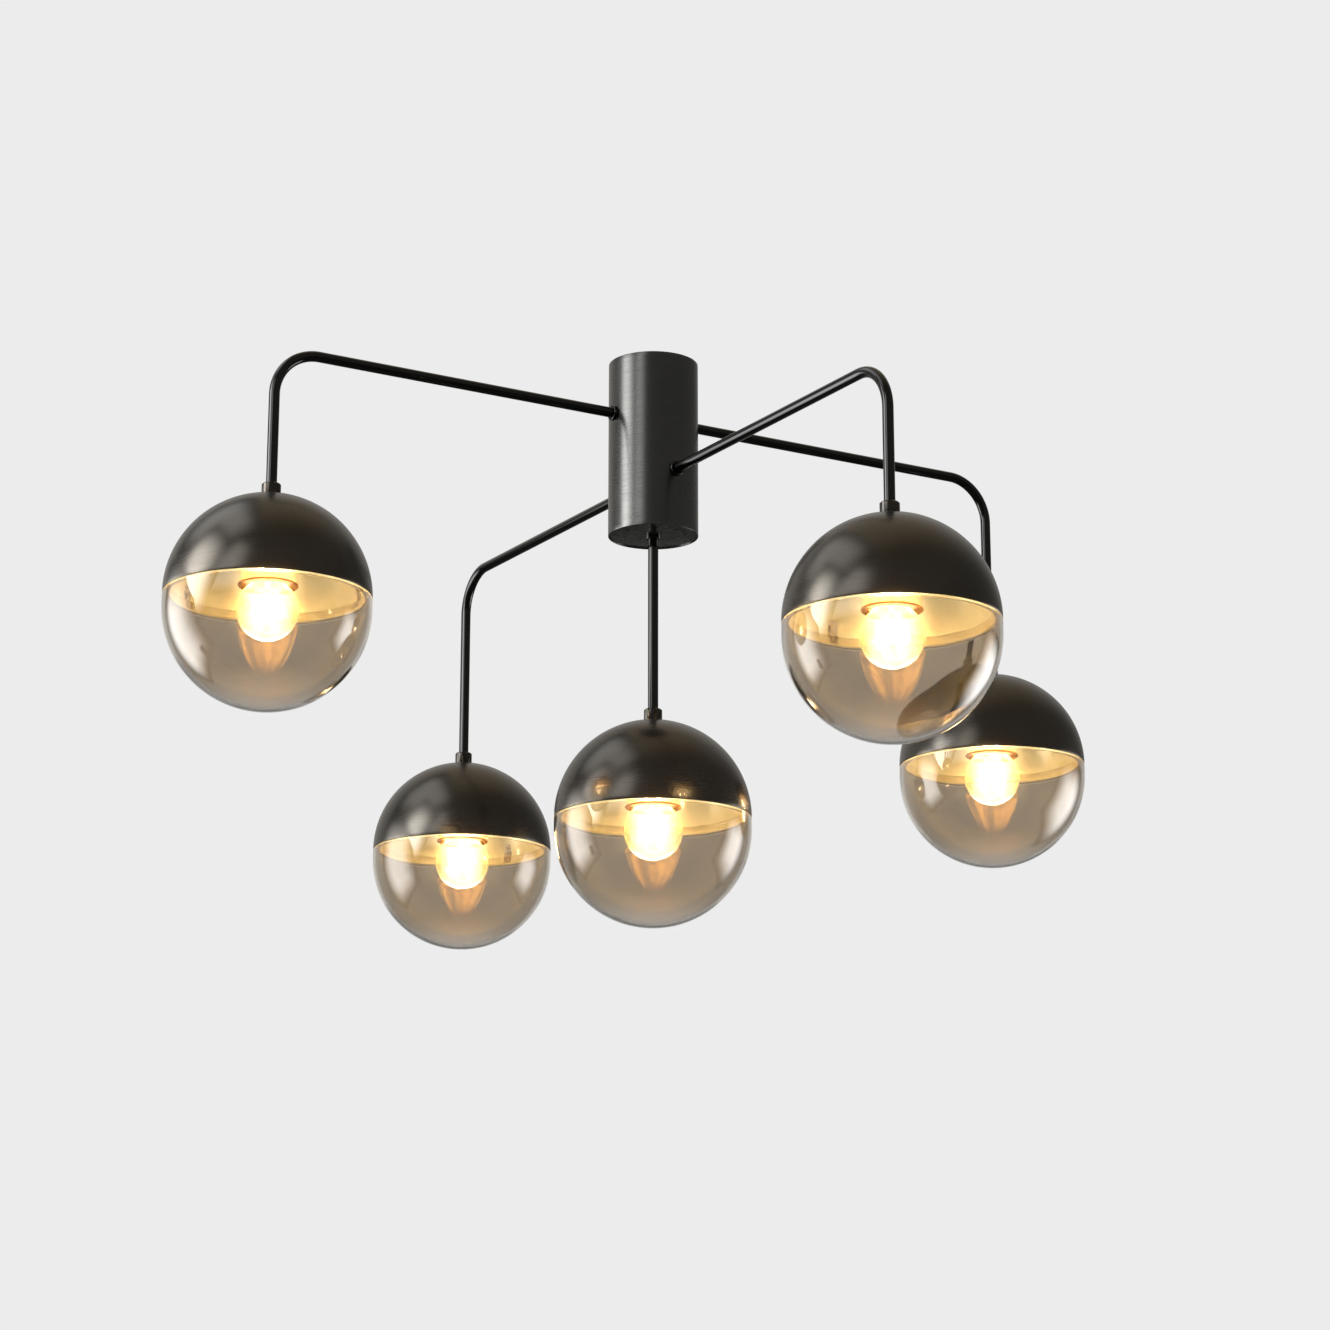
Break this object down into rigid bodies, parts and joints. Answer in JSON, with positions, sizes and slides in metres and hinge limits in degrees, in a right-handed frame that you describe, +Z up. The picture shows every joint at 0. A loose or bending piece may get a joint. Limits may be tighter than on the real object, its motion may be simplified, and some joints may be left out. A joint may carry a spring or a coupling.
{
  "type": "branch chandelier",
  "caption": "Ceiling chandelier: a short column with bent tube arms and a centre rod, each ending in a globe lamp of a metal cap over a glass bowl.",
  "frame": {"origin": "centre of the column's top, on the ceiling and midway between the strap's two slots", "axes": "+Z up through the ceiling; +X along the line of the two ceiling slots; the right arm points 30 degrees from +X"},
  "size_m": [0.7042, 0.7042, 0.4455],
  "materials": {
    "strap_steel": "zinc-plated strip",
    "black_tube": "gloss black nickel",
    "column_metal": "brushed gunmetal, lacquered",
    "cap_metal": "satin black nickel outside, gold inside",
    "collar_metal": "gloss black nickel",
    "plated_nut": "zinc-plated",
    "brass": "bare",
    "gold_cup": "gold plated",
    "insulator": "glazed white",
    "terminal_plastic": "natural",
    "cable_sheath": "clear grey sheath",
    "spring_steel": "spring strip",
    "smoke_glass": "thin, lightly smoked",
    "bulb_glass": "clear",
    "bulb_metal": "nickel-plated",
    "filament_glow": "lit filaments on a glass stem"
  },
  "bodies": {
    "frame": {"ceiling_strap": "strap_steel", "side_screws": "black_tube", "earth_screw": "brass", "terminal_block": "terminal_plastic", "terminal_screws": "brass", "column_shell": "column_metal", "column_base": "column_metal", "hole_rings": "black_tube", "lock_nuts": "plated_nut", "arm_left": "black_tube", "arm_right": "black_tube", "arm_front": "black_tube", "arm_back": "black_tube", "centre_rod": "black_tube", "lamp_cables": "cable_sheath", "cap_nuts": "plated_nut", "screw_shells": "brass", "centre_contacts": "brass", "shade_clips": "spring_steel", "collar_left": "collar_metal", "collar_right": "collar_metal", "collar_front": "collar_metal", "collar_back": "collar_metal", "collar_centre": "collar_metal", "cap_left": "cap_metal", "cap_right": "cap_metal", "cap_front": "cap_metal", "cap_back": "cap_metal", "cap_centre": "cap_metal", "cup_left": "gold_cup", "cup_right": "gold_cup", "cup_front": "gold_cup", "cup_back": "gold_cup", "cup_centre": "gold_cup", "holder_left": "insulator", "holder_right": "insulator", "holder_front": "insulator", "holder_back": "insulator", "holder_centre": "insulator"},
    "glass_left": {"shade_left": "smoke_glass"},
    "lamp_left": {"bulb_left": "bulb_glass", "bulb_base_left": "bulb_metal", "filament_left": "filament_glow"},
    "glass_right": {"shade_right": "smoke_glass"},
    "lamp_right": {"bulb_right": "bulb_glass", "bulb_base_right": "bulb_metal", "filament_right": "filament_glow"},
    "glass_front": {"shade_front": "smoke_glass"},
    "lamp_front": {"bulb_front": "bulb_glass", "bulb_base_front": "bulb_metal", "filament_front": "filament_glow"},
    "glass_back": {"shade_back": "smoke_glass"},
    "lamp_back": {"bulb_back": "bulb_glass", "bulb_base_back": "bulb_metal", "filament_back": "filament_glow"},
    "glass_centre": {"shade_centre": "smoke_glass"},
    "lamp_centre": {"bulb_centre": "bulb_glass", "bulb_base_centre": "bulb_metal", "filament_centre": "filament_glow"}
  },
  "joints": [
    {"name": "glass_left_off", "type": "slide", "parent": "frame", "child": "glass_left", "axis": [0, 0, -1], "range_m": [0, 0.095]},
    {"name": "lamp_left_out", "type": "slide", "parent": "frame", "child": "lamp_left", "axis": [0, 0, -1], "range_m": [0, 0.03]},
    {"name": "glass_right_off", "type": "slide", "parent": "frame", "child": "glass_right", "axis": [0, 0, -1], "range_m": [0, 0.095]},
    {"name": "lamp_right_out", "type": "slide", "parent": "frame", "child": "lamp_right", "axis": [0, 0, -1], "range_m": [0, 0.03]},
    {"name": "glass_front_off", "type": "slide", "parent": "frame", "child": "glass_front", "axis": [0, 0, -1], "range_m": [0, 0.095]},
    {"name": "lamp_front_out", "type": "slide", "parent": "frame", "child": "lamp_front", "axis": [0, 0, -1], "range_m": [0, 0.03]},
    {"name": "glass_back_off", "type": "slide", "parent": "frame", "child": "glass_back", "axis": [0, 0, -1], "range_m": [0, 0.095]},
    {"name": "lamp_back_out", "type": "slide", "parent": "frame", "child": "lamp_back", "axis": [0, 0, -1], "range_m": [0, 0.03]},
    {"name": "glass_centre_off", "type": "slide", "parent": "frame", "child": "glass_centre", "axis": [0, 0, -1], "range_m": [0, 0.095]},
    {"name": "lamp_centre_out", "type": "slide", "parent": "frame", "child": "lamp_centre", "axis": [0, 0, -1], "range_m": [0, 0.03]}
  ]
}
